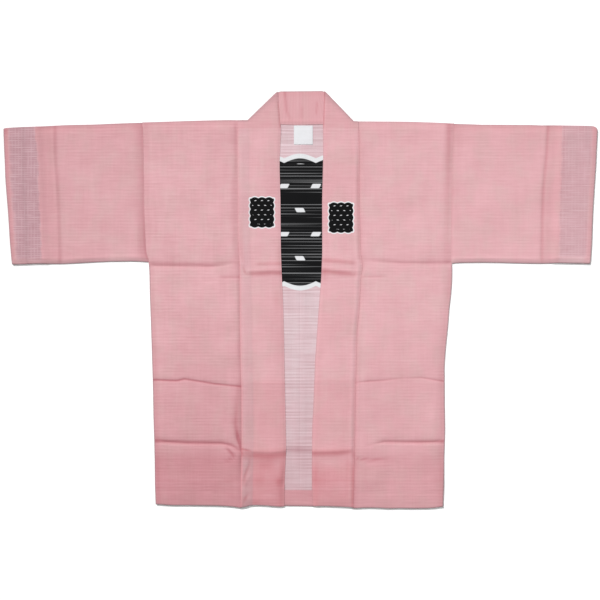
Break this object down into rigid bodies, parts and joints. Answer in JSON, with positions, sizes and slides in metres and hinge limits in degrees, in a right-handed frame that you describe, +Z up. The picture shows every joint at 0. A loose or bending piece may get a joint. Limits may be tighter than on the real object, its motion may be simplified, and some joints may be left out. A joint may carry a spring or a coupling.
{
  "type": "happi coat",
  "caption": "Short straight-cut cotton festival coat with wide open sleeves and a long collar band, laid flat with its front up and a narrow opening down the middle.",
  "frame": {"origin": "the middle of the coat's bounding box in plan, on the surface that the coat lies on", "axes": "+X towards the wearer's left sleeve, +Y towards the neck, +Z up off the surface, out of the coat's front"},
  "size_m": [1.1555, 0.8136, 0.0049],
  "materials": {
    "body_cotton": "thin plain-woven cotton with an uneven crosswise rib, printed pink on its face and paler inside, matt",
    "sleeve_cotton": "the body's ribbed pink cotton, its turned-in end woven with a fine grey check that shows through at the cuff, matt",
    "collar_cotton": "the body's ribbed pink cotton folded into a firm band, with a small black and white printed block on each front, matt",
    "label_cotton": "white plain-woven tape, blank, matt"
  },
  "bodies": {
    "root": {"body_right": "body_cotton", "body_left": "body_cotton", "sleeve_right": "sleeve_cotton", "sleeve_left": "sleeve_cotton", "collar": "collar_cotton", "neck_label": "label_cotton"}
  },
  "joints": []
}
